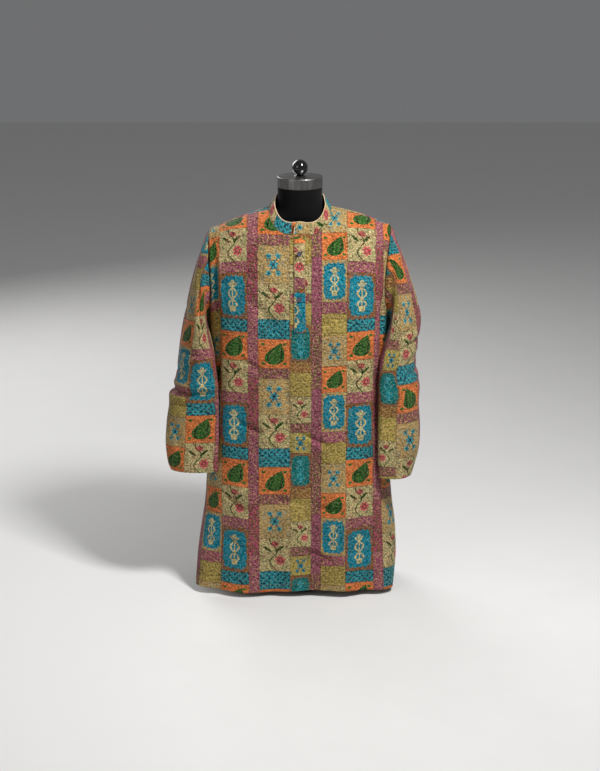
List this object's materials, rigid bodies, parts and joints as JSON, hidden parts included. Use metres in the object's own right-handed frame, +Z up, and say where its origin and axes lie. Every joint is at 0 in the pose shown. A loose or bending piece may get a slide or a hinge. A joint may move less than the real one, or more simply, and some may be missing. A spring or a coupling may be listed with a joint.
{
  "type": "kurta on a limbless dress form",
  "caption": "Straight long-sleeved kurta with a band collar, half placket and side slits, worn by a black limbless dress form on a low round base.",
  "frame": {"origin": "centre of the underside of the form's round base", "axes": "+Z up, front of the kurta towards -Y, the wearer's left towards +X"},
  "size_m": [0.678, 0.2526, 1.1665],
  "materials": {
    "cloth_front": "soft printed slub-weave cotton silk with a low sheen",
    "cloth_back": "soft printed slub-weave cotton silk with a low sheen",
    "cloth_sleeve_left": "soft printed slub-weave cotton silk with a low sheen",
    "cloth_sleeve_right": "soft printed slub-weave cotton silk with a low sheen",
    "cloth_collar": "the same cloth, doubled and stiffened",
    "cloth_placket": "the same cloth, doubled and pressed",
    "form_cover": "black matt jersey",
    "button": "greyish mauve, polished",
    "cap_steel": "turned satin",
    "knob_gloss": "black, high gloss",
    "stand_coating": "black powder coat"
  },
  "bodies": {
    "root": {"front": "cloth_front", "back": "cloth_back", "sleeve_left": "cloth_sleeve_left", "sleeve_right": "cloth_sleeve_right", "collar": "cloth_collar", "placket": "cloth_placket", "button_1": "button", "button_2": "button", "form_torso": "form_cover", "form_neck_cap": "cap_steel", "form_knob": "knob_gloss", "form_pole": "stand_coating", "form_base": "stand_coating"}
  },
  "joints": []
}
